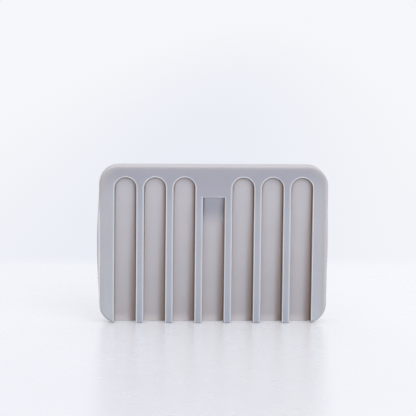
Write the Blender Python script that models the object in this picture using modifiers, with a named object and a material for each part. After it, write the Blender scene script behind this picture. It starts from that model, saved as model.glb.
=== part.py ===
"""Silicone soap dish: a ribbed frame over a sloped drain tray.

The dish stands on its open drain edge. X runs across the ribs, Z from the drain edge up to the
closed head, and Y from the soap face (-Y) to the underside (+Y). The origin is the middle of the
footprint, and every size is in metres.
"""

import math

import bmesh
import bpy

# Whole dish
WIDTH = 0.116
HEIGHT = 0.0804
CORNER_RADIUS = 0.010
EDGE_ROUND = 0.0012
SEAM = 0.0003

# Rib frame: rails, ribs and the slots between them
FRAME_DEPTH = 0.0073
HEAD_RAIL = 0.0056
SLOT_PITCH = 0.0149
SLOT_WIDTH = 0.0109
RIB_ROUND = 0.0007
SEAM_ROUND = 0.0003
SLOT_COUNT = 7

# Short centre slot: a plain panel above it, and the ramp below a low step at its head
CENTRE_HEAD = 0.0159
RAMP_DROP = 0.001
RAMP_LENGTH = 0.012
RAMP_RADIUS = 0.02

# Drain tray: base plate, and the tongues whose fronts are the channel floors
TRAY_THICKNESS = 0.0054
SIDE_BOW = 0.001
BOW_LENGTH = 0.054
FLOOR_HEAD_DEPTH = 0.0025
FLOOR_DRAIN_DEPTH = 0.0065
TONGUE_ROUND = 0.0004

# Shallow pockets in the underside
POCKET_DEPTH = 0.0012
POCKET_RIM = 0.0085
POCKET_GAP = 0.0045
POCKET_RADIUS = 0.0035
POCKET_COUNT = 4

# How far a cutter runs past what it cuts
OVERRUN = 0.001

# How finely the round stretches are divided
CORNER_STEPS = 8
SLOT_END_STEPS = 16
BOW_STEPS = 10
RAMP_STEPS = 8
ROUND_SEGMENTS = 3
SHARP_ANGLE = math.radians(40)

# Finish: linear base colours and roughness
COOL_GREY = (0.43, 0.45, 0.50)
WARM_GREY = (0.48, 0.45, 0.47)
SILICONE_ROUGHNESS = 0.55

# Planes and lines that both mouldings share
THICKNESS = FRAME_DEPTH + SEAM + TRAY_THICKNESS
FACE_Y = -THICKNESS / 2
FRAME_BACK_Y = FACE_Y + FRAME_DEPTH
TRAY_FRONT_Y = FRAME_BACK_Y + SEAM
UNDERSIDE_Y = THICKNESS / 2
SLOT_END_Z = HEIGHT - HEAD_RAIL
CENTRE_END_Z = HEIGHT - CENTRE_HEAD
RAMP_FOOT_Z = CENTRE_END_Z - RAMP_LENGTH
SLOT_CENTRES = [(index - (SLOT_COUNT - 1) / 2) * SLOT_PITCH for index in range(SLOT_COUNT)]
OUTERMOST_SLOT_X = SLOT_CENTRES[-1] + SLOT_WIDTH / 2
CENTRE_NUMBER = (SLOT_COUNT + 1) / 2


def clear_scene():
    for obj in list(bpy.data.objects):
        bpy.data.objects.remove(obj, do_unlink=True)


def new_collection(name):
    collection = bpy.data.collections.new(name)
    bpy.context.scene.collection.children.link(collection)
    return collection


def silicone(name, colour):
    material = bpy.data.materials.new(name)
    material.use_nodes = True
    material.diffuse_color = (*colour, 1)
    shader = material.node_tree.nodes["Principled BSDF"]
    shader.inputs["Base Color"].default_value = (*colour, 1)
    shader.inputs["Roughness"].default_value = SILICONE_ROUGHNESS
    shader.inputs["Metallic"].default_value = 0
    return material


def floor_y(z):
    """Y of the channel floors: one plane, which falls back from the head to the drain edge."""
    fall = FLOOR_DRAIN_DEPTH - FLOOR_HEAD_DEPTH
    return FACE_Y + FLOOR_DRAIN_DEPTH - fall * z / SLOT_END_Z


def arc(centre, radius, start, end, steps):
    """Points on an arc from one angle in degrees to another, both ends included."""
    points = []
    for step in range(steps + 1):
        angle = math.radians(start + (end - start) * step / steps)
        points.append((centre[0] + radius * math.cos(angle), centre[1] + radius * math.sin(angle)))
    return points


def bowed_side(x, bow, middle, length):
    """Points along the stretch of a short side that bows outwards, both its ends included."""
    points = []
    for step in range(BOW_STEPS + 1):
        from_middle = 2 * step / BOW_STEPS - 1
        points.append((x + bow * (1 - from_middle ** 2), middle + length * from_middle / 2))
    return points


def rounded_outline(half_width, low, high, radius, bow=0):
    """A rectangle with round corners, anticlockwise, whose short sides bow outwards by bow."""
    inner, middle = half_width - radius, (low + high) / 2
    points = arc((inner, low + radius), radius, 270, 360, CORNER_STEPS)
    if bow:
        points += bowed_side(half_width, bow, middle, BOW_LENGTH)
    points += arc((inner, high - radius), radius, 0, 90, CORNER_STEPS)
    points += arc((-inner, high - radius), radius, 90, 180, CORNER_STEPS)
    if bow:
        points += bowed_side(-half_width, -bow, middle, -BOW_LENGTH)
    points += arc((-inner, low + radius), radius, 180, 270, CORNER_STEPS)
    return points


def round_ended_outline(x, half_width, low, high):
    """A strip with a full half-round head, as six of the slots and tongues have."""
    head = arc((x, high - half_width), half_width, 0, 180, SLOT_END_STEPS)
    return [(x - half_width, low), (x + half_width, low)] + head


def square_ended_outline(x, half_width, low, high):
    return [(x - half_width, low), (x + half_width, low), (x + half_width, high), (x - half_width, high)]


def tidy_mesh(mesh):
    """Weld the mesh and join the triangles of each flat face into one face."""
    bm = bmesh.new()
    bm.from_mesh(mesh)
    bmesh.ops.remove_doubles(bm, verts=bm.verts, dist=SEAM / 100)
    bmesh.ops.dissolve_limit(bm, angle_limit=math.radians(0.1), verts=bm.verts, edges=bm.edges)
    bmesh.ops.recalc_face_normals(bm, faces=bm.faces)
    bm.to_mesh(mesh)
    bm.free()


def solid_mesh(obj):
    """The mesh that an object shows, in world space, as one closed skin."""
    bpy.context.view_layer.update()
    evaluated = obj.evaluated_get(bpy.context.evaluated_depsgraph_get())
    mesh = bpy.data.meshes.new_from_object(evaluated)
    mesh.transform(obj.matrix_world)
    tidy_mesh(mesh)
    return mesh


def flat_solid(name, outline, start, end, collection, along="Y"):
    """A solid with a flat outline, in XZ where it runs along Y, and in YZ where it runs along X."""
    curve = bpy.data.curves.new(name, "CURVE")
    curve.dimensions = "2D"
    curve.fill_mode = "BOTH"
    curve.extrude = (end - start) / 2
    spline = curve.splines.new("POLY")
    spline.points.add(len(outline) - 1)
    for point, (across, up) in zip(spline.points, outline):
        point.co = (across, up, 0, 1)
    spline.use_cyclic_u = True
    guide = bpy.data.objects.new(name, curve)
    bpy.context.scene.collection.objects.link(guide)
    if along == "Y":
        guide.rotation_euler = (math.pi / 2, 0, 0)
        guide.location.y = (start + end) / 2
    else:
        guide.rotation_euler = (math.pi / 2, 0, math.pi / 2)
        guide.location.x = (start + end) / 2
    mesh = solid_mesh(guide)
    bpy.data.objects.remove(guide, do_unlink=True)
    solid = bpy.data.objects.new(name, mesh)
    collection.objects.link(solid)
    return solid


def cut(target, cutters):
    """Cut the others out of the target and keep the result as its mesh."""
    for cutter in cutters:
        cutter.hide_render = True
        cutter.display_type = "WIRE"
        boolean = target.modifiers.new(cutter.name, "BOOLEAN")
        boolean.operation = "DIFFERENCE"
        boolean.object = cutter
    mesh = solid_mesh(target)
    target.modifiers.clear()
    target.data = mesh


def round_edges(obj, radius_at):
    """Round the sharp edges that lie flat in XZ, each by the radius at its middle point."""
    bm = bmesh.new()
    bm.from_mesh(obj.data)
    weights = bm.edges.layers.float.new("bevel_weight_edge")
    for edge in bm.edges:
        start, end = (vert.co for vert in edge.verts)
        sharp = edge.is_convex and edge.calc_face_angle() > SHARP_ANGLE
        if sharp and abs(start.y - end.y) < SEAM:
            edge[weights] = radius_at((start + end) / 2) / EDGE_ROUND
    bm.to_mesh(obj.data)
    bm.free()
    bevel = obj.modifiers.new("Rounded_edges", "BEVEL")
    bevel.limit_method = "WEIGHT"
    bevel.width = EDGE_ROUND
    bevel.segments = ROUND_SEGMENTS
    bevel.use_clamp_overlap = False


def finish(obj, material):
    obj.data.materials.clear()
    obj.data.materials.append(material)
    obj.data.shade_smooth()
    obj.data.set_sharp_from_angle(angle=SHARP_ANGLE)


def ramp_turn(rise):
    """Degrees that the hollow foot of the ramp turns, before the ramp runs straight to its head."""
    beside = RAMP_RADIUS - rise
    reach = math.hypot(RAMP_LENGTH, beside)
    straight = math.acos(min(1, RAMP_RADIUS / reach))
    return math.degrees(math.atan2(RAMP_LENGTH, beside) - straight)


def ramp_outline():
    """Side view (y, z) of the centre slot: a step, then a ramp that ends flush with the floor."""
    head_y, foot_y = FACE_Y + RAMP_DROP, floor_y(RAMP_FOOT_Z)
    front, back = FACE_Y - OVERRUN, FRAME_BACK_Y + OVERRUN
    points = [(front, -OVERRUN), (back, -OVERRUN), (back, RAMP_FOOT_Z)]
    centre = (foot_y - RAMP_RADIUS, RAMP_FOOT_Z)
    points += arc(centre, RAMP_RADIUS, 0, ramp_turn(foot_y - head_y), RAMP_STEPS)
    return points + [(head_y, CENTRE_END_Z), (front, CENTRE_END_Z)]


def frame_radius_at(point):
    """The frame's outer edge is well rounded, its ribs less, and the edge at the seam least."""
    if point.y > (FACE_Y + FRAME_BACK_Y) / 2:
        return SEAM_ROUND
    if abs(point.x) > OUTERMOST_SLOT_X + SEAM or point.z > SLOT_END_Z + SEAM:
        return EDGE_ROUND
    return RIB_ROUND


def build_rib_frame(parts, cutters, material):
    """Front moulding: a rounded plate, cut into rails and ribs by seven slots."""
    outline = rounded_outline(WIDTH / 2, 0, HEIGHT, CORNER_RADIUS)
    frame = flat_solid("rib_frame", outline, FACE_Y, FRAME_BACK_Y, parts)
    front, back = FACE_Y - OVERRUN, FRAME_BACK_Y + OVERRUN
    slots = []
    for number, x in enumerate(SLOT_CENTRES, 1):
        name = f"slot_cutter_{number}"
        if number == CENTRE_NUMBER:
            slot = flat_solid(name, ramp_outline(), x - SLOT_WIDTH / 2, x + SLOT_WIDTH / 2, cutters, "X")
        else:
            outline = round_ended_outline(x, SLOT_WIDTH / 2, -OVERRUN, SLOT_END_Z)
            slot = flat_solid(name, outline, front, back, cutters)
        slots.append(slot)
    cut(frame, slots)
    round_edges(frame, frame_radius_at)
    finish(frame, material)


def slope_front(block):
    """Lay the front of a block in the sloping plane of the channel floors."""
    for vert in block.data.vertices:
        if vert.co.y < FRAME_BACK_Y:
            vert.co.y = floor_y(vert.co.z)


def around_tongues_outline():
    """Outline of all that surrounds the tongues: a comb that the seven of them notch from below."""
    half_width = SLOT_WIDTH / 2 - SEAM
    side = WIDTH / 2 + SIDE_BOW + OVERRUN
    points = [(-side, -OVERRUN)]
    for number, x in enumerate(SLOT_CENTRES, 1):
        if number == CENTRE_NUMBER:
            tongue = square_ended_outline(x, half_width, -OVERRUN, RAMP_FOOT_Z - SEAM)
        else:
            tongue = round_ended_outline(x, half_width, -OVERRUN, SLOT_END_Z - SEAM)
        left_foot, right_foot, *head = tongue
        points += [left_foot, *reversed(head), right_foot]
    return points + [(side, -OVERRUN), (side, HEIGHT + OVERRUN), (-side, HEIGHT + OVERRUN)]


def tray_radius_at(point):
    """The edges of the floors, of the plate at the seam, and of the underside."""
    if point.y < TRAY_FRONT_Y - SEAM:
        return TONGUE_ROUND
    if point.y < (TRAY_FRONT_Y + UNDERSIDE_Y) / 2:
        return SEAM_ROUND
    inside_rim = abs(point.x) < WIDTH / 2 - POCKET_RIM / 2
    if inside_rim and POCKET_RIM / 2 < point.z < HEIGHT - POCKET_RIM / 2:
        return RIB_ROUND
    return EDGE_ROUND


def underside_pockets(cutters):
    """Cutters for wide shallow pockets that leave a rim and bars level with the underside."""
    spacing = (HEIGHT - 2 * POCKET_RIM + POCKET_GAP) / POCKET_COUNT
    pockets = []
    for index in range(POCKET_COUNT):
        low = POCKET_RIM + index * spacing
        high = low + spacing - POCKET_GAP
        outline = rounded_outline(WIDTH / 2 - POCKET_RIM, low, high, POCKET_RADIUS)
        name = f"pocket_cutter_{index + 1}"
        front, back = UNDERSIDE_Y - POCKET_DEPTH, UNDERSIDE_Y + OVERRUN
        pockets.append(flat_solid(name, outline, front, back, cutters))
    return pockets


def build_drain_tray(parts, cutters, material):
    """Rear moulding: a plate with bowed short sides, and a sloped tongue for every slot."""
    outline = rounded_outline(WIDTH / 2, 0, HEIGHT, CORNER_RADIUS, SIDE_BOW)
    tray = flat_solid("drain_tray", outline, FACE_Y, UNDERSIDE_Y, parts)
    slope_front(tray)
    front = FACE_Y - OVERRUN
    surround = flat_solid("around_tongues_cutter", around_tongues_outline(), front, TRAY_FRONT_Y, cutters)
    cut(tray, [surround])
    cut(tray, underside_pockets(cutters))
    round_edges(tray, tray_radius_at)
    finish(tray, material)


def main():
    clear_scene()
    parts = new_collection("soap_dish")
    cutters = new_collection("cutters")
    build_rib_frame(parts, cutters, silicone("cool_grey_silicone", COOL_GREY))
    build_drain_tray(parts, cutters, silicone("warm_grey_silicone", WARM_GREY))


main()
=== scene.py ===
"""Silicone soap dish, as it looks: a cool grey rib frame pressed onto a warm grey drain tray.

The dish stands on its open drain edge. X runs across the ribs, Z from the drain edge up to the
closed head, and Y from the soap face (-Y) to the underside (+Y). Sizes are in metres.
"""

import math

import bmesh
import bpy
from mathutils import Matrix


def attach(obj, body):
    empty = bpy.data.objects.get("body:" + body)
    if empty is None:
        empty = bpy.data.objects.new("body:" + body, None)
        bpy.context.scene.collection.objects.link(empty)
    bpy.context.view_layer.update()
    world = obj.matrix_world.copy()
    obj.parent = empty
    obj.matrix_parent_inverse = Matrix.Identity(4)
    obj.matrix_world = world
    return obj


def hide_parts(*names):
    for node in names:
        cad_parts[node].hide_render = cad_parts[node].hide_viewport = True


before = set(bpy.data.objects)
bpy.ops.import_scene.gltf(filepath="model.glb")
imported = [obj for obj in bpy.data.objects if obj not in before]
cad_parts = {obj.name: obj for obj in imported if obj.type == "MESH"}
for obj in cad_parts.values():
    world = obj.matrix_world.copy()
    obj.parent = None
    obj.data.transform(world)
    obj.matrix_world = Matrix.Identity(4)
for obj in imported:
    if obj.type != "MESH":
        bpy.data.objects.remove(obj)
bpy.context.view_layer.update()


# Camera: about a metre in front of the dish and a little to its left, looking slightly down on it
# through a long lens. The picture leans by half a degree, as if it had been taken by hand.

CAMERA_PLACE = (-0.0569, -1.0086, 0.1984)
CAMERA_PAN = math.radians(-3.079)
CAMERA_TILT = math.radians(90 - 7.890)
CAMERA_ROLL = math.radians(0.588)
LENS_MM = 173.4
SENSOR_MM = 36

aim = Matrix.Rotation(CAMERA_PAN, 4, "Z") @ Matrix.Rotation(CAMERA_TILT, 4, "X")
aim = aim @ Matrix.Rotation(CAMERA_ROLL, 4, "Z")
bpy.ops.object.camera_add(location=CAMERA_PLACE, rotation=aim.to_euler())
camera = bpy.context.object
camera.name = "Camera"
camera.data.lens = LENS_MM
camera.data.sensor_width = SENSOR_MM
bpy.context.scene.camera = camera
bpy.context.scene.view_settings.view_transform = "Standard"


# Table: a white laminate with a soft shine, so it carries a blurred grey image of the dish. It is
# painted darker towards the camera as painted shade, and where the camera sees it a share of the
# wall's glow is mixed in as painted light that pales the dish's shade on it. Past its far edge the
# same plane is seen as the bluish wall, a painted glow with painted shade round a middle behind the
# dish, which fades to white all round.

TABLE_SIZE = 14
# Painted shade: the laminate near the camera is darker than its white further back.
TABLE_NEAR = (0.74, 0.735, 0.775)
TABLE_WHITE = (0.82, 0.82, 0.853)
TABLE_FADE = (-0.19, 0.08)
TABLE_ROUGHNESS = 0.27
TABLE_WEAR = 0.1
TABLE_GLOSS = 0.75
# Share of the wall's glow mixed into the table as painted light where the camera sees it.
TABLE_GLOW_SHARE = 0.3
TABLE_GRAIN = 30
TABLE_EDGE = (0.162, 0.206)
# The wall's glow: painted shade round a middle behind the dish, white further out.
WALL_SHADE = (0.820, 0.848, 0.911)
WALL_WHITE = (0.915, 0.923, 0.958)
WALL_CENTRE = (-0.0095, 0.346, 0)
WALL_TURN = (0, 0, math.radians(-5.5))
WALL_REACH = (0.24, 3.26, 1)


def named_material(name):
    """A new material with its nodes, links and Principled shader."""
    material = bpy.data.materials.new(name)
    material.use_nodes = True
    tree = material.node_tree
    return material, tree.nodes, tree.links, tree.nodes["Principled BSDF"]


def between(nodes, links, value, low, high, start=0, end=1):
    """Takes a value smoothly from start to end as it goes from low to high."""
    node = nodes.new("ShaderNodeMapRange")
    node.interpolation_type = "SMOOTHSTEP"
    node.inputs["From Min"].default_value = low
    node.inputs["From Max"].default_value = high
    node.inputs["To Min"].default_value = start
    node.inputs["To Max"].default_value = end
    links.new(value, node.inputs["Value"])
    return node.outputs["Result"]


def blended(nodes, links, share, first, second, how="MIX"):
    """Mixes two colours, each a colour or another node's output, by a share."""
    node = nodes.new("ShaderNodeMix")
    node.data_type = "RGBA"
    node.blend_type = how
    for socket, value in (("Factor_Float", share), ("A_Color", first), ("B_Color", second)):
        target = next(one for one in node.inputs if one.identifier == socket)
        if isinstance(value, tuple):
            target.default_value = (*value, 1)
        elif isinstance(value, (int, float)):
            target.default_value = value
        else:
            links.new(value, target)
    return next(one for one in node.outputs if one.identifier == "Result_Color")


def worked(nodes, links, how, *values):
    """One sum on values, each a number or another node's output."""
    node = nodes.new("ShaderNodeMath")
    node.operation = how
    for socket, value in zip(node.inputs, values):
        if isinstance(value, (int, float)):
            socket.default_value = value
        else:
            links.new(value, socket)
    return node.outputs[0]


def both(nodes, links, first, second):
    """The share where two shares hold together."""
    return worked(nodes, links, "MULTIPLY", first, second)


def either(nodes, links, first, second):
    """The larger of two shares."""
    return worked(nodes, links, "MAXIMUM", first, second)


def xyz(nodes, links, place):
    """The three coordinates of a place, each as an output of its own."""
    node = nodes.new("ShaderNodeSeparateXYZ")
    links.new(place, node.inputs["Vector"])
    return node.outputs


def length_of(nodes, links, vector):
    node = nodes.new("ShaderNodeVectorMath")
    node.operation = "LENGTH"
    links.new(vector, node.inputs[0])
    return node.outputs["Value"]


def grain(nodes, links, place, scale, detail=2):
    """Even noise of a given number of cells to the metre."""
    node = nodes.new("ShaderNodeTexNoise")
    node.inputs["Scale"].default_value = scale
    node.inputs["Detail"].default_value = detail
    links.new(place, node.inputs["Vector"])
    return node.outputs["Fac"]


def picture_rays(nodes, links):
    """One where the camera sees a surface, directly or mirrored in gloss or glass, and else zero."""
    path = nodes.new("ShaderNodeLightPath").outputs
    seen = either(nodes, links, path["Is Camera Ray"], path["Is Glossy Ray"])
    return either(nodes, links, seen, path["Is Transmission Ray"])


def mixed_shader(nodes, links, share, first, second):
    mix = nodes.new("ShaderNodeMixShader")
    links.new(share, mix.inputs[0])
    links.new(first, mix.inputs[1])
    links.new(second, mix.inputs[2])
    return mix.outputs[0]


def table_finish():
    """White laminate, and past the table's far edge the wall, where the picture shows it."""
    material, nodes, links, shader = named_material("white_laminate")
    place = nodes.new("ShaderNodeTexCoord").outputs["Object"]
    depth = xyz(nodes, links, place)["Y"]
    marks = grain(nodes, links, place, TABLE_GRAIN)
    smooth, worn = TABLE_ROUGHNESS * (1 - TABLE_WEAR), TABLE_ROUGHNESS * (1 + TABLE_WEAR)
    links.new(between(nodes, links, marks, 0, 1, smooth, worn), shader.inputs["Roughness"])
    # Painted shade: darker towards the camera.
    tone = blended(nodes, links, between(nodes, links, depth, *TABLE_FADE), TABLE_NEAR, TABLE_WHITE)
    links.new(tone, shader.inputs["Base Color"])
    shader.inputs["Coat Weight"].default_value = TABLE_GLOSS
    shader.inputs["Coat Roughness"].default_value = TABLE_ROUGHNESS

    # The wall's glow, with painted shade round a middle behind the dish.
    around = nodes.new("ShaderNodeMapping")
    around.vector_type = "TEXTURE"
    around.inputs["Location"].default_value = WALL_CENTRE
    around.inputs["Rotation"].default_value = WALL_TURN
    around.inputs["Scale"].default_value = WALL_REACH
    links.new(place, around.inputs["Vector"])
    fade = between(nodes, links, length_of(nodes, links, around.outputs["Vector"]), 0, 1)
    wall = nodes.new("ShaderNodeEmission")
    links.new(blended(nodes, links, fade, WALL_SHADE, WALL_WHITE), wall.inputs["Color"])

    # Painted light: where the camera sees the table it takes a share of that glow; past its far edge
    # it is all wall.
    past_edge = between(nodes, links, depth, *TABLE_EDGE, TABLE_GLOW_SHARE)
    far = both(nodes, links, past_edge, picture_rays(nodes, links))
    finish = mixed_shader(nodes, links, far, shader.outputs[0], wall.outputs[0])
    links.new(finish, nodes["Material Output"].inputs["Surface"])
    return material


bpy.ops.object.select_all(action="DESELECT")
bpy.ops.mesh.primitive_plane_add(size=TABLE_SIZE)
table = bpy.context.object
table.name = "Table"
table.data.materials.append(table_finish())


# Light: a large soft window in front, to the right and above, and a pale room that is brightest
# overhead and half as bright at the level of the table.

ROOM_COLOUR = (0.97, 0.98, 1.0)
ROOM_LOW = 0.65
ROOM_HIGH = 1.2
ROOM_RISE = (0, 0.8)
ROOM_SEEN = (0.88, 0.89, 0.93)
WINDOW_COLOUR = (1.0, 0.99, 0.97)
WINDOW_SIZE = 1.2
WINDOW_PLACE = (0.66, -1.13, 0.92)
WINDOW_POWER = 8.5


def room_light():
    """World light by direction, and a plain pale colour where the room itself is seen or mirrored."""
    world = bpy.data.worlds.new("Room")
    world.use_nodes = True
    nodes, links = world.node_tree.nodes, world.node_tree.links
    nodes.clear()
    up = xyz(nodes, links, nodes.new("ShaderNodeTexCoord").outputs["Generated"])["Z"]
    lit = nodes.new("ShaderNodeBackground")
    lit.inputs["Color"].default_value = (*ROOM_COLOUR, 1)
    links.new(between(nodes, links, up, *ROOM_RISE, ROOM_LOW, ROOM_HIGH), lit.inputs["Strength"])
    seen = nodes.new("ShaderNodeBackground")
    seen.inputs["Color"].default_value = (*ROOM_SEEN, 1)
    room = mixed_shader(nodes, links, picture_rays(nodes, links), lit.outputs[0], seen.outputs[0])
    links.new(room, nodes.new("ShaderNodeOutputWorld").inputs["Surface"])
    return world


bpy.context.scene.world = room_light()
bpy.ops.object.light_add(type="AREA", location=WINDOW_PLACE)
window = bpy.context.object
window.name = "Window"
window.data.shape = "SQUARE"
window.data.size = WINDOW_SIZE
window.data.energy = WINDOW_POWER
window.data.color = WINDOW_COLOUR
window.rotation_euler = window.location.to_track_quat("Z", "Y").to_euler()


# Rib frame: the front moulding, a soft plate with round corners. Six round-headed slots and a short
# square one leave rails and ribs; it is one piece of matt cool grey silicone, pressed onto the tray.

WIDTH = 0.116
HEIGHT = 0.0804
CORNER_RADIUS = 0.010
EDGE_ROUND = 0.0012
SEAM = 0.0003
FRAME_DEPTH = 0.0073
HEAD_RAIL = 0.0056
SLOT_PITCH = 0.0149
SLOT_WIDTH = 0.0109
RIB_ROUND = 0.0007
FOOT_ROUND = 0.0003
SIDE_SLOTS = 3
CENTRE_HEAD = 0.0159
RAMP_DROP = 0.001
RAMP_LENGTH = 0.012
RAMP_RADIUS = 0.02
FLOOR_HEAD_DEPTH = 0.0025
FLOOR_DRAIN_DEPTH = 0.0065
TRAY_THICKNESS = 0.0054
OVERRUN = 0.001
JOINT = 0.0001
CORNER_STEPS = 8
SLOT_END_STEPS = 24
RAMP_STEPS = 20
ROUND_STEPS = 6
SHARP_ANGLE = math.radians(20)
FLAT_ANGLE = math.radians(0.1)
MERGE_WITHIN = SEAM / 100
UPWARD = 0.9

THICKNESS = FRAME_DEPTH + SEAM + TRAY_THICKNESS
FACE_Y = -THICKNESS / 2
FRAME_BACK_Y = FACE_Y + FRAME_DEPTH
SLOT_END_Z = HEIGHT - HEAD_RAIL
CENTRE_END_Z = HEIGHT - CENTRE_HEAD
RAMP_FOOT_Z = CENTRE_END_Z - RAMP_LENGTH
OUTERMOST_SLOT_X = SIDE_SLOTS * SLOT_PITCH + SLOT_WIDTH / 2


def block(name, low, high):
    """A plain block between two corners, alone selected."""
    bpy.ops.object.select_all(action="DESELECT")
    centre = [(a + b) / 2 for a, b in zip(low, high)]
    size = [b - a for a, b in zip(low, high)]
    bpy.ops.mesh.primitive_cube_add(size=1, location=centre, scale=size)
    bpy.ops.object.transform_apply(location=True, rotation=True, scale=True)
    piece = bpy.context.object
    piece.name = name
    return piece


def pick_edges(piece, wanted):
    """In edit mode, leaves selected the edges whose two ends pass a test."""
    bpy.ops.mesh.select_mode(type="EDGE")
    bpy.ops.mesh.select_all(action="DESELECT")
    mesh = bmesh.from_edit_mesh(piece.data)
    for edge in mesh.edges:
        start, end = (vert.co for vert in edge.verts)
        if wanted(edge, start, end):
            edge.select_set(True)
    bmesh.update_edit_mesh(piece.data)


def weld():
    """In edit mode, merges the points that lie on one another."""
    bpy.ops.mesh.select_all(action="SELECT")
    bpy.ops.mesh.remove_doubles(threshold=MERGE_WITHIN)


def round_corners(piece, radius, steps, lowest=-math.inf):
    """Rounds the edges that run from front to back, above a given height."""
    bpy.ops.object.mode_set(mode="EDIT")
    pick_edges(piece, lambda edge, a, b: abs(a.y - b.y) > SEAM and min(a.z, b.z) > lowest)
    bpy.ops.mesh.bevel(offset=radius, segments=steps, affect="EDGES")
    weld()
    bpy.ops.object.mode_set(mode="OBJECT")


def only(piece):
    bpy.ops.object.select_all(action="DESELECT")
    piece.select_set(True)
    bpy.context.view_layer.objects.active = piece


def copied(piece, step):
    """A copy with its own mesh, moved by a step."""
    only(piece)
    bpy.ops.object.duplicate(linked=False)
    bpy.ops.transform.translate(value=step)
    bpy.ops.object.transform_apply(location=True, rotation=True, scale=True)
    return bpy.context.object


def joined(pieces):
    only(pieces[0])
    for piece in pieces:
        piece.select_set(True)
    bpy.ops.object.join()
    return bpy.context.object


def cut(piece, cutter):
    """Cuts one solid out of another and clears the cutter away."""
    only(piece)
    bpy.ops.object.modifier_add(type="BOOLEAN")
    boolean = piece.modifiers[-1]
    boolean.operation = "DIFFERENCE"
    boolean.object = cutter
    bpy.ops.object.modifier_apply(modifier=boolean.name)
    bpy.data.objects.remove(cutter, do_unlink=True)
    bpy.ops.object.mode_set(mode="EDIT")
    weld()
    bpy.ops.mesh.dissolve_limited(angle_limit=FLAT_ANGLE)
    bpy.ops.object.mode_set(mode="OBJECT")


def round_edges(piece, radius_of):
    """Rounds every sharp outer edge by its own radius, then shades the piece smooth."""
    only(piece)
    bpy.ops.object.mode_set(mode="EDIT")
    mesh = bmesh.from_edit_mesh(piece.data)
    mesh.edges.ensure_lookup_table()
    radii = {}
    for edge in mesh.edges:
        if edge.is_convex and edge.calc_face_angle() > SHARP_ANGLE:
            radius = radius_of(*(vert.co for vert in edge.verts))
            radii.setdefault(radius, set()).add(edge.index)
    for radius, chosen in radii.items():
        if radius:
            pick_edges(piece, lambda edge, a, b: edge.index in chosen)
            bpy.ops.transform.edge_bevelweight(value=radius / EDGE_ROUND)
    bpy.ops.object.mode_set(mode="OBJECT")
    bpy.ops.object.modifier_add(type="BEVEL")
    bevel = piece.modifiers[-1]
    bevel.limit_method = "WEIGHT"
    bevel.width = EDGE_ROUND
    bevel.segments = ROUND_STEPS
    bevel.use_clamp_overlap = False
    bpy.ops.object.modifier_apply(modifier=bevel.name)
    bpy.ops.object.shade_smooth_by_angle(angle=SHARP_ANGLE)
    bpy.ops.object.modifier_add(type="WEIGHTED_NORMAL")
    piece.modifiers[-1].keep_sharp = True
    bpy.ops.object.modifier_apply(modifier=piece.modifiers[-1].name)


def floor_y(z):
    """Y of the channel floors, which fall back from the head to the drain edge."""
    return FACE_Y + FLOOR_DRAIN_DEPTH - (FLOOR_DRAIN_DEPTH - FLOOR_HEAD_DEPTH) * z / SLOT_END_Z


def ramp_turn():
    """How far the ramp's hollow foot turns before the ramp runs straight up to its head."""
    beside = RAMP_RADIUS - (floor_y(RAMP_FOOT_Z) - FACE_Y - RAMP_DROP)
    reach = math.hypot(RAMP_LENGTH, beside)
    return math.atan2(RAMP_LENGTH, beside) - math.acos(RAMP_RADIUS / reach)


def centre_slot():
    """The short slot's cutter: a block, whose front half is swept up and forward along the ramp."""
    half = SLOT_WIDTH / 2
    front, back = FACE_Y - OVERRUN, FRAME_BACK_Y + OVERRUN
    cutter = block("centre_slot", (-half, front, -OVERRUN), (half, back, RAMP_FOOT_Z))
    foot_y = floor_y(RAMP_FOOT_Z)
    bpy.ops.object.mode_set(mode="EDIT")
    bpy.ops.mesh.select_all(action="SELECT")
    bpy.ops.mesh.bisect(plane_co=(0, foot_y, 0), plane_no=(0, 1, 0))
    bpy.ops.mesh.select_mode(type="FACE")
    bpy.ops.mesh.select_all(action="DESELECT")
    mesh = bmesh.from_edit_mesh(cutter.data)
    for face in mesh.faces:
        middle = face.calc_center_median()
        face.select_set(face.normal.z > UPWARD and middle.y < foot_y)
    bmesh.update_edit_mesh(cutter.data)
    turn = ramp_turn()
    centre = (0, foot_y - RAMP_RADIUS, RAMP_FOOT_Z)
    bpy.ops.mesh.spin(steps=RAMP_STEPS, angle=-turn, center=centre, axis=(1, 0, 0))
    straight = (0, -RAMP_LENGTH * math.sin(turn), RAMP_LENGTH * math.cos(turn))
    bpy.ops.mesh.extrude_region_move(TRANSFORM_OT_translate={"value": straight})
    bpy.ops.mesh.select_all(action="SELECT")
    head = (0, 0, CENTRE_END_Z)
    bpy.ops.mesh.bisect(plane_co=head, plane_no=(0, 0, 1), use_fill=True, clear_outer=True)
    weld()
    bpy.ops.mesh.normals_make_consistent(inside=False)
    bpy.ops.object.mode_set(mode="OBJECT")
    return cutter


def side_slots(half_width, low, high, front, back):
    """Six round-headed strips, three to each side of the centre."""
    first = block("side_slot", (-half_width, front, low), (half_width, back, high))
    round_corners(first, half_width, SLOT_END_STEPS, lowest=0)
    numbers = [n for n in range(-SIDE_SLOTS, SIDE_SLOTS + 1) if n]
    strips = [copied(first, (number * SLOT_PITCH, 0, 0)) for number in numbers]
    bpy.data.objects.remove(first, do_unlink=True)
    return strips


def frame_radius(start, end):
    """The outer edge is well rounded, the ribs less, and the edges at the seam and foot least."""
    middle = (start + end) / 2
    if abs(start.y - end.y) > SEAM:
        return FOOT_ROUND if middle.z < SEAM else 0
    if abs(middle.x) < SEAM and abs(middle.z - RAMP_FOOT_Z) < SEAM:
        return 0
    if middle.y > (FACE_Y + FRAME_BACK_Y) / 2:
        return JOINT
    if abs(middle.x) > OUTERMOST_SLOT_X + SEAM or middle.z > SLOT_END_Z + SEAM:
        return EDGE_ROUND
    return RIB_ROUND


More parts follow.
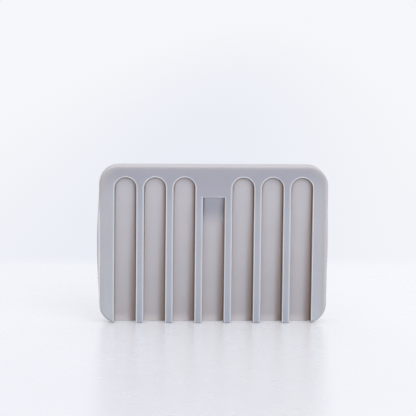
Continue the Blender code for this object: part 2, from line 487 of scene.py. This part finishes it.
SATIN_GRAIN = 2600
SATIN_DETAIL = 3
SATIN_SPAN = (0.2, 0.8)
SATIN_ROUGHNESS = (0.45, 0.57)
SATIN_STRENGTH = 0.35
SATIN_HEIGHT = 0.00004
MOTTLE_GRAIN = 70
MOTTLE_DETAIL = 3
MOTTLE_SPAN = (0.3, 0.7)
MOTTLE_SHADE = (0.985, 1.015)
SILICONE_IOR = 1.41
SCATTER_SHARE = 0.3
SCATTER_COLOURS = (1.0, 0.55, 0.4)
SCATTER_DEPTH = 0.0012
# Face tones: the side rails are painted paler, and paler still at their foot, as painted light; the
# head rail and the foot of the ribs are painted darker as painted shade.
COOL_STILE = (0.447, 0.455, 0.495)
STILE_FOOT_LIGHT = (0.46, 0.485, 0.53)
COOL_FACE = (0.413, 0.427, 0.482)
COOL_HEAD_SHADE = (0.37, 0.37, 0.425)
COOL_FOOT_SHADE = (0.38, 0.403, 0.468)
FOOT_FADE = (0, 0.02)
STILE_FADE = (0, 0.035)
HEAD_FADE = (0.053, 0.073)
# Painted highlights on the slots' rounded edges: one for the lit left side of each slot, and a paler
# one for its shaded right side and round head.
LIT_RIM_HIGHLIGHT = (0.54, 0.57, 0.62)
LIT_RIM_HIGHLIGHT_WIDTH = 0.0012
SHADED_RIM_HIGHLIGHT = (0.78, 0.82, 0.88)
SHADED_RIM_HIGHLIGHT_WIDTH = 0.0007
# Painted warm light near the outline, as through thin edges: strongest on the right and round the
# head, wider at the sides.
WARM_EDGE_LIGHT = (0.44, 0.42, 0.44)
HEAD_RIM_WIDTH = 0.0026
HEAD_RIM_SHARE = 0.5
SIDE_RIM_WIDTH = 0.0040
WARM_RIM_LEFT = 0.35
WARM_RIM_TURN = (-0.02, 0.02)
# Painted highlight on the right-hand rounded edge, which faces the window.
RIGHT_EDGE_HIGHLIGHT = (0.53, 0.52, 0.55)
RIGHT_EDGE_SPAN = (WIDTH / 2 - 2 * EDGE_ROUND, WIDTH / 2 - EDGE_ROUND / 4)
CORNER_FADE = (0.058, 0.072)
SIDE_EDGE_FADE = (0.050, 0.066)
TOP_EDGE = (0.49, 0.47, 0.495)
# Painted highlight on the left side's rounded edge.
SIDE_EDGE_HIGHLIGHT = (0.88, 0.86, 0.88)
# Painted shade down the slots' walls, warm and dark, darkest low on their right-hand walls.
SLOT_WALL_SHADE = (0.38, 0.30, 0.266)
SLOT_WALL_LOW_SHADE = (0.24, 0.18, 0.158)
LOW_FADE = (0.005, 0.06)
UNLIT_DEPTH = (FACE_Y + 0.1 * RIB_ROUND, FACE_Y + 0.6 * RIB_ROUND)
UNLIT_TURN = (-0.045, 0.02, 0.3, 1)
# Painted shade on the ramp: darker at its head, and a dark painted shadow along its sides, widest on
# the right.
RAMP_HEAD_SHADE = (0.375, 0.38, 0.44)
RAMP_SIDE_SHADE = (0.13, 0.12, 0.13)
RAMP_BLEND = (0.048, 0.060)
RAMP_SIDE_WIDTH = 0.0012
RAMP_SHADE_WIDTH = 0.0035
RAMP_SHADE_SHARE = 0.4
RAMP_FOOT_SHARE = 0.4
RAMP_EDGE = 0.0001
RAMP_EDGE_DEPTH = 0.0002
WARM_FLOOR = (0.53, 0.515, 0.55)
# Painted shade in the floors' corners, warm and dark.
FLOOR_CORNER_SHADE = (0.38, 0.30, 0.266)


def new_silicone(name):
    """Matt silicone with a fine satin grain, its tone still to be given."""
    material, nodes, links, shader = named_material(name)
    place = nodes.new("ShaderNodeTexCoord").outputs["Object"]
    fine = grain(nodes, links, place, SATIN_GRAIN, SATIN_DETAIL)
    dull = between(nodes, links, fine, *SATIN_SPAN, *SATIN_ROUGHNESS)
    links.new(dull, shader.inputs["Roughness"])
    bump = nodes.new("ShaderNodeBump")
    bump.inputs["Strength"].default_value = SATIN_STRENGTH
    bump.inputs["Distance"].default_value = SATIN_HEIGHT
    links.new(fine, bump.inputs["Height"])
    links.new(bump.outputs["Normal"], shader.inputs["Normal"])
    shader.inputs["IOR"].default_value = SILICONE_IOR
    shader.inputs["Subsurface Weight"].default_value = SCATTER_SHARE
    shader.inputs["Subsurface Radius"].default_value = SCATTER_COLOURS
    shader.inputs["Subsurface Scale"].default_value = SCATTER_DEPTH
    return material, nodes, links, shader, place


def beside_slot(nodes, links, x):
    """How far right of the middle of the nearest slot a point lies."""
    return worked(nodes, links, "WRAP", x, SLOT_PITCH / 2, -SLOT_PITCH / 2)


def reach_past(nodes, links, across, z, height):
    """How far a point lies from the middle line of a shape, or from the line's end at a height."""
    above = worked(nodes, links, "SUBTRACT", z, height)
    reach = nodes.new("ShaderNodeCombineXYZ")
    links.new(across, reach.inputs["X"])
    links.new(either(nodes, links, above, 0), reach.inputs["Y"])
    return length_of(nodes, links, reach.outputs["Vector"])


def beyond_slot(nodes, links, across, z):
    """How far a point of the face lies outside the walls and round head of the nearest slot."""
    reach = reach_past(nodes, links, across, z, SLOT_END_Z - SLOT_WIDTH / 2)
    return worked(nodes, links, "SUBTRACT", reach, SLOT_WIDTH / 2)


def near_outline(nodes, links, side, z):
    """Zero well inside, one at the rounded outer edge, and spread wider at the sides than the head."""
    out = worked(nodes, links, "SUBTRACT", side, WIDTH / 2 - CORNER_RADIUS)
    out = either(nodes, links, out, 0)
    reach = reach_past(nodes, links, out, z, HEIGHT - CORNER_RADIUS)
    edge = CORNER_RADIUS - EDGE_ROUND
    narrow = between(nodes, links, reach, CORNER_RADIUS - HEAD_RIM_WIDTH, edge, 0, HEAD_RIM_SHARE)
    wide = between(nodes, links, reach, CORNER_RADIUS - SIDE_RIM_WIDTH, edge)
    wide = both(nodes, links, wide, between(nodes, links, out, 0, CORNER_RADIUS / 2))
    return either(nodes, links, narrow, wide)


def mottled(nodes, links, place, tone):
    """A tone made a little uneven, as filled silicone is."""
    patches = grain(nodes, links, place, MOTTLE_GRAIN, MOTTLE_DETAIL)
    shade = between(nodes, links, patches, *MOTTLE_SPAN, *MOTTLE_SHADE)
    return blended(nodes, links, 1, tone, shade, "MULTIPLY")


def frame_face(nodes, links, x, z, side):
    """The face: painted light pales the side rails and their foot, painted shade darkens the head rail
    and the ribs' foot, painted warm light tints it near the outline, and a painted highlight runs down
    the right-hand edge.
    """
    # Painted shade: the ribs darken towards their foot and towards the head rail.
    ribs = blended(nodes, links, between(nodes, links, z, *FOOT_FADE), COOL_FOOT_SHADE, COOL_FACE)
    ribs = blended(nodes, links, between(nodes, links, z, *HEAD_FADE), ribs, COOL_HEAD_SHADE)
    # Painted light: the side rails are paler, most at their foot; at the head they darken with painted
    # shade.
    rail = blended(nodes, links, between(nodes, links, z, *STILE_FADE), STILE_FOOT_LIGHT, COOL_STILE)
    at_head = between(nodes, links, z, SLOT_END_Z - SLOT_WIDTH, HEIGHT)
    rail = blended(nodes, links, at_head, rail, COOL_HEAD_SHADE)
    stile = between(nodes, links, side, OUTERMOST_SLOT_X - SLOT_WIDTH / 4, OUTERMOST_SLOT_X + SEAM)
    face = blended(nodes, links, stile, ribs, rail)
    # Painted warm light near the outline, weaker on the left-hand side.
    right = between(nodes, links, x, *WARM_RIM_TURN, WARM_RIM_LEFT, 1)
    right_or_head = either(nodes, links, right, between(nodes, links, z, *CORNER_FADE))
    rim = both(nodes, links, near_outline(nodes, links, side, z), right_or_head)
    face = blended(nodes, links, rim, face, WARM_EDGE_LIGHT)
    # Painted highlight along the right-hand edge.
    return blended(nodes, links, between(nodes, links, x, *RIGHT_EDGE_SPAN), face, RIGHT_EDGE_HIGHLIGHT)


def frame_edge(nodes, links, x, y, z):
    """The frame's outside: warm, with a pale painted highlight where the left side's edge is rounded.
    """
    left = between(nodes, links, x, -WIDTH / 2 + EDGE_ROUND / 4, -WIDTH / 2 + EDGE_ROUND, 1, 0)
    left = both(nodes, links, left, between(nodes, links, z, *SIDE_EDGE_FADE, 1, 0))
    on_round = between(nodes, links, y, FACE_Y + EDGE_ROUND, FACE_Y + 2 * EDGE_ROUND, 1, 0)
    return blended(nodes, links, both(nodes, links, left, on_round), TOP_EDGE, SIDE_EDGE_HIGHLIGHT)


def slot_edges(nodes, links, x, y, z, side, face):
    """The face between the slots, with painted highlights on their rounded edges and painted shade,
    dark and warm, down their walls.
    """
    across = beside_slot(nodes, links, x)
    beyond = beyond_slot(nodes, links, across, z)
    # Painted highlights on the rounded edges, paler on the right of each slot and round its head.
    lit = between(nodes, links, beyond, LIT_RIM_HIGHLIGHT_WIDTH / 2, LIT_RIM_HIGHLIGHT_WIDTH, 1, 0)
    lit = blended(nodes, links, lit, face, LIT_RIM_HIGHLIGHT)
    shaded = between(nodes, links, beyond, SHADED_RIM_HIGHLIGHT_WIDTH / 2, SHADED_RIM_HIGHLIGHT_WIDTH, 1, 0)
    shaded = blended(nodes, links, shaded, face, SHADED_RIM_HIGHLIGHT)
    at_right = between(nodes, links, across, 0, SLOT_WIDTH / 2)
    at_head = between(nodes, links, z, SLOT_END_Z - SLOT_WIDTH / 2, SLOT_END_Z)
    rims = blended(nodes, links, either(nodes, links, at_right, at_head), lit, shaded)
    above_ramp = between(nodes, links, z, CENTRE_END_Z + SEAM, CENTRE_END_Z + RIB_ROUND)
    panel = between(nodes, links, side, SLOT_PITCH / 2 - SEAM, SLOT_PITCH / 2, 1, 0)
    rims = blended(nodes, links, both(nodes, links, panel, above_ramp), rims, face)

    # Painted shade: the walls darken past the rounded edge, sooner on the right-hand walls, and most
    # low down on the right.
    wall = between(nodes, links, y, FACE_Y + RIB_ROUND, FACE_Y + 2 * RIB_ROUND)
    to_right = between(nodes, links, x, *UNLIT_TURN)
    right_wall = between(nodes, links, across, SLOT_WIDTH / 4, SLOT_WIDTH / 2)
    unlit = both(nodes, links, between(nodes, links, y, *UNLIT_DEPTH), right_wall)
    wall = either(nodes, links, wall, both(nodes, links, unlit, to_right))
    right_half = between(nodes, links, across, 0, SLOT_WIDTH / 4)
    low = both(nodes, links, between(nodes, links, z, *LOW_FADE, 1, 0), right_half)
    deep = blended(nodes, links, both(nodes, links, low, to_right), SLOT_WALL_SHADE, SLOT_WALL_LOW_SHADE)
    return blended(nodes, links, wall, rims, deep)


def ramp_slope(nodes, links, x, z, side):
    """The ramp: cool and darker with painted shade at its head, as warm as the floor at its foot, and
    dark with painted shadow along its sides.
    """
    slope = blended(nodes, links, between(nodes, links, z, *RAMP_BLEND), WARM_FLOOR, RAMP_HEAD_SHADE)
    half = SLOT_WIDTH / 2
    along_sides = between(nodes, links, side, half - RAMP_SIDE_WIDTH, half)
    at_right = between(nodes, links, x, half - RAMP_SHADE_WIDTH, half, 0, RAMP_SHADE_SHARE)
    beside = either(nodes, links, along_sides, at_right)
    up_ramp = between(nodes, links, z, RAMP_FOOT_Z, RAMP_FOOT_Z + RAMP_LENGTH / 2, RAMP_FOOT_SHARE, 1)
    return blended(nodes, links, both(nodes, links, beside, up_ramp), slope, RAMP_SIDE_SHADE)


def on_ramp(nodes, links, y, z, side):
    """One on the ramp, and zero on the walls beside it and on the face."""
    between_walls = between(nodes, links, side, SLOT_WIDTH / 2 - RAMP_EDGE, SLOT_WIDTH / 2, 1, 0)
    ramp_y = FACE_Y + RAMP_DROP
    below_face = between(nodes, links, y, ramp_y - RAMP_EDGE_DEPTH, ramp_y)
    below_panel = between(nodes, links, z, CENTRE_END_Z, CENTRE_END_Z + SEAM, 1, 0)
    return both(nodes, links, both(nodes, links, between_walls, below_face), below_panel)


def cool_silicone():
    """Cool grey: paler on the rounded edges with painted highlights, and warmer and darker down the
    walls of the slots with painted shade.
    """
    material, nodes, links, shader, place = new_silicone("cool_grey_silicone_skin")
    x, y, z = xyz(nodes, links, place)
    side = worked(nodes, links, "ABSOLUTE", x)
    face = frame_face(nodes, links, x, z, side)
    turned = between(nodes, links, y, FACE_Y, FACE_Y + EDGE_ROUND / 2)
    outer = blended(nodes, links, turned, face, frame_edge(nodes, links, x, y, z))
    inner = slot_edges(nodes, links, x, y, z, side, face)
    last_slot, slot_end = OUTERMOST_SLOT_X + RIB_ROUND, SLOT_END_Z + RIB_ROUND
    within_sides = between(nodes, links, side, last_slot, last_slot + RIB_ROUND, 1, 0)
    below_head = between(nodes, links, z, slot_end, slot_end + RIB_ROUND, 1, 0)
    tone = blended(nodes, links, both(nodes, links, within_sides, below_head), outer, inner)
    ramp = ramp_slope(nodes, links, x, z, side)
    tone = blended(nodes, links, on_ramp(nodes, links, y, z, side), tone, ramp)
    links.new(mottled(nodes, links, place, tone), shader.inputs["Base Color"])
    return material


rib_frame = block("rib_frame_skin", (-WIDTH / 2, FACE_Y, 0), (WIDTH / 2, FRAME_BACK_Y, HEIGHT))
round_corners(rib_frame, CORNER_RADIUS, CORNER_STEPS)
past_front, past_back = FACE_Y - OVERRUN, FRAME_BACK_Y + OVERRUN
slots = side_slots(SLOT_WIDTH / 2, -OVERRUN, SLOT_END_Z, past_front, past_back)
cut(rib_frame, joined(slots + [centre_slot()]))
round_edges(rib_frame, frame_radius)
rib_frame.data.materials.append(cool_silicone())
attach(rib_frame, "root")
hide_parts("rib_frame")


# Drain tray: the rear moulding of warm grey silicone, a plate whose short sides bow outwards. Seven
# sloping tongues stand on it and fill the frame's slots, as the floors that the water runs down.

SIDE_BOW = 0.001
BOW_LENGTH = 0.054
BOW_STEPS = 12
TONGUE_ROUND = 0.0002
POCKET_DEPTH = 0.0012
POCKET_RIM = 0.0085
POCKET_GAP = 0.0045
POCKET_RADIUS = 0.0035
POCKET_COUNT = 4
TRAY_FRONT_Y = FRAME_BACK_Y + JOINT / 2
UNDERSIDE_Y = THICKNESS / 2
# Painted light: the floors are paler at their foot, by the table.
FLOOR_FOOT_LIGHT = (0.68, 0.65, 0.68)
FLOOR_FOOT_FADE = (0.0005, 0.005)
CORNER_WIDTH = 0.0025
LOW_CORNER_WIDTH = 0.0045
LOW_CORNER_END = 0.001
LOW_CORNER_FADE = (0.004, 0.078, 0.8, 0)
LINE_WIDTH = 0.0007
ARC_WIDTH = 0.0013
TRAY_SIDE = (0.54, 0.53, 0.55)
# Painted highlight on the plate's ledge beside the frame.
LEDGE_HIGHLIGHT = (0.90, 0.88, 0.90)
LEDGE_FADE = (WIDTH / 2 + 0.5 * SIDE_BOW, WIDTH / 2 + 0.8 * SIDE_BOW)


def slope_front(tray):
    """Cuts the front of the block away along the plane of the channel floors."""
    only(tray)
    bpy.ops.object.mode_set(mode="EDIT")
    bpy.ops.mesh.select_all(action="SELECT")
    rise = floor_y(0) - floor_y(HEIGHT)
    bpy.ops.mesh.bisect(
        plane_co=(0, floor_y(0), 0),
        plane_no=(0, -HEIGHT, -rise),
        use_fill=True,
        clear_outer=True,
    )
    bpy.ops.object.mode_set(mode="OBJECT")


def on_side(point, x, z):
    """Whether a point lies on a short side's edge at a height."""
    return abs(point.x - x) < SEAM / 10 and abs(point.z - z) < SEAM / 10


def bow_sides(tray):
    """Divides the short sides into level rows and moves each row out, most at half height."""
    shares = [2 * step / BOW_STEPS - 1 for step in range(BOW_STEPS + 1)]
    rows = [((HEIGHT + BOW_LENGTH * share) / 2, SIDE_BOW * (1 - share ** 2)) for share in shares]
    bpy.ops.object.mode_set(mode="EDIT")
    for z, _ in rows:
        bpy.ops.mesh.select_all(action="SELECT")
        bpy.ops.mesh.bisect(plane_co=(0, 0, z), plane_no=(0, 0, 1))
    for z, out in rows:
        for side in (-1, 1):
            edge_x = side * WIDTH / 2
            pick_edges(tray, lambda edge, a, b: on_side(a, edge_x, z) and on_side(b, edge_x, z))
            bpy.ops.transform.translate(value=(side * out, 0, 0))
    bpy.ops.object.mode_set(mode="OBJECT")


def around_tongues():
    """All that surrounds the tongues in front of the tray's plate: a block notched from below."""
    side = WIDTH / 2 + SIDE_BOW + OVERRUN
    front = FACE_Y - OVERRUN
    comb = block("around_tongues", (-side, front, -OVERRUN), (side, TRAY_FRONT_Y, HEIGHT + OVERRUN))
    half = SLOT_WIDTH / 2 - JOINT
    low, past = -2 * OVERRUN, front - OVERRUN
    strips = side_slots(half, low, SLOT_END_Z - JOINT, past, TRAY_FRONT_Y + OVERRUN)
    below_ramp = RAMP_FOOT_Z - JOINT / 4
    centre = block("centre_strip", (-half, past, low), (half, TRAY_FRONT_Y + OVERRUN, below_ramp))
    cut(comb, joined(strips + [centre]))
    return comb


def pockets():
    """Shallow pockets in the underside, which leave a rim and bars to stand on when it lies flat."""
    spacing = (HEIGHT - 2 * POCKET_RIM + POCKET_GAP) / POCKET_COUNT
    half = WIDTH / 2 - POCKET_RIM
    low, high = POCKET_RIM, POCKET_RIM + spacing - POCKET_GAP
    front, back = UNDERSIDE_Y - POCKET_DEPTH, UNDERSIDE_Y + OVERRUN
    first = block("pocket", (-half, front, low), (half, back, high))
    round_corners(first, POCKET_RADIUS, CORNER_STEPS)
    rest = [copied(first, (0, 0, index * spacing)) for index in range(1, POCKET_COUNT)]
    return joined([first] + rest)


def tray_radius(start, end):
    """The edges of the floors, of the plate at the seam, of the pockets and of the outside."""
    middle = (start + end) / 2
    if abs(start.y - end.y) > SEAM:
        return FOOT_ROUND if middle.z < SEAM else 0
    if abs(middle.x) < SEAM and abs(middle.z - RAMP_FOOT_Z) < SEAM:
        return 0
    if middle.y < TRAY_FRONT_Y - SEAM:
        return TONGUE_ROUND
    if middle.y < (TRAY_FRONT_Y + UNDERSIDE_Y) / 2:
        return JOINT
    rim = POCKET_RIM / 2
    if abs(middle.x) < WIDTH / 2 - rim and rim < middle.z < HEIGHT - rim:
        return RIB_ROUND
    return EDGE_ROUND


def channel_floor(nodes, links, x, z, side):
    """The floors: pale at the foot with painted light, and dark with painted shade in the right-hand
    corners, along the walls and round the heads.
    """
    # Painted light: paler towards the foot.
    foot = between(nodes, links, z, *FLOOR_FOOT_FADE)
    floor = blended(nodes, links, foot, FLOOR_FOOT_LIGHT, WARM_FLOOR)
    half = SLOT_WIDTH / 2
    right = beside_slot(nodes, links, x)
    # Painted shade: dark in the right-hand corners and wider there low down, in a thin line along the
    # walls, and wider round the heads.
    corner = between(nodes, links, right, half - CORNER_WIDTH, half - JOINT)
    low_corner = between(nodes, links, right, half - LOW_CORNER_WIDTH, half - LOW_CORNER_END)
    low_corner = both(nodes, links, low_corner, between(nodes, links, z, *LOW_CORNER_FADE))
    corner = either(nodes, links, corner, low_corner)
    beyond = beyond_slot(nodes, links, right, z)
    corner = either(nodes, links, corner, between(nodes, links, beyond, -LINE_WIDTH, -JOINT))
    round_head = between(nodes, links, z, SLOT_END_Z - SLOT_WIDTH, SLOT_END_Z - half)
    arc = both(nodes, links, between(nodes, links, beyond, -ARC_WIDTH, -JOINT), round_head)
    floor = blended(nodes, links, either(nodes, links, corner, arc), floor, FLOOR_CORNER_SHADE)
    centre = between(nodes, links, side, half, SLOT_PITCH / 2, 1, 0)
    # Painted shade: the ramp's darker head tone runs on down the centre floor.
    up_ramp = both(nodes, links, centre, between(nodes, links, z, *RAMP_BLEND))
    return blended(nodes, links, up_ramp, floor, RAMP_HEAD_SHADE)


def tray_plate(nodes, links, y, side):
    """The plate: warm, with a pale painted highlight on the ledge in front where its short sides bow
    out past the frame.
    """
    turned = between(nodes, links, side, WIDTH / 2 - EDGE_ROUND, WIDTH / 2)
    plate = blended(nodes, links, turned, TOP_EDGE, TRAY_SIDE)
    in_front = between(nodes, links, y, TRAY_FRONT_Y + JOINT, TRAY_FRONT_Y + 2 * JOINT, 1, 0)
    past_frame = between(nodes, links, side, WIDTH / 2 - JOINT, WIDTH / 2)
    ledge = both(nodes, links, in_front, past_frame)
    ledge = both(nodes, links, ledge, between(nodes, links, side, *LEDGE_FADE, 1, 0))
    return blended(nodes, links, ledge, plate, LEDGE_HIGHLIGHT)


def warm_silicone():
    """Warm grey on the floors, and on the plate that stands round them, paler where a painted
    highlight lies on its ledge.
    """
    material, nodes, links, shader, place = new_silicone("warm_grey_silicone_skin")
    x, y, z = xyz(nodes, links, place)
    side = worked(nodes, links, "ABSOLUTE", x)
    floor = channel_floor(nodes, links, x, z, side)
    back = between(nodes, links, y, TRAY_FRONT_Y - SEAM, TRAY_FRONT_Y)
    tone = blended(nodes, links, back, floor, tray_plate(nodes, links, y, side))
    links.new(mottled(nodes, links, place, tone), shader.inputs["Base Color"])
    return material


drain_tray = block("drain_tray_skin", (-WIDTH / 2, FACE_Y, 0), (WIDTH / 2, UNDERSIDE_Y, HEIGHT))
round_corners(drain_tray, CORNER_RADIUS, CORNER_STEPS)
slope_front(drain_tray)
bow_sides(drain_tray)
cut(drain_tray, around_tongues())
cut(drain_tray, pockets())
round_edges(drain_tray, tray_radius)
drain_tray.data.materials.append(warm_silicone())
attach(drain_tray, "root")
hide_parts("drain_tray")
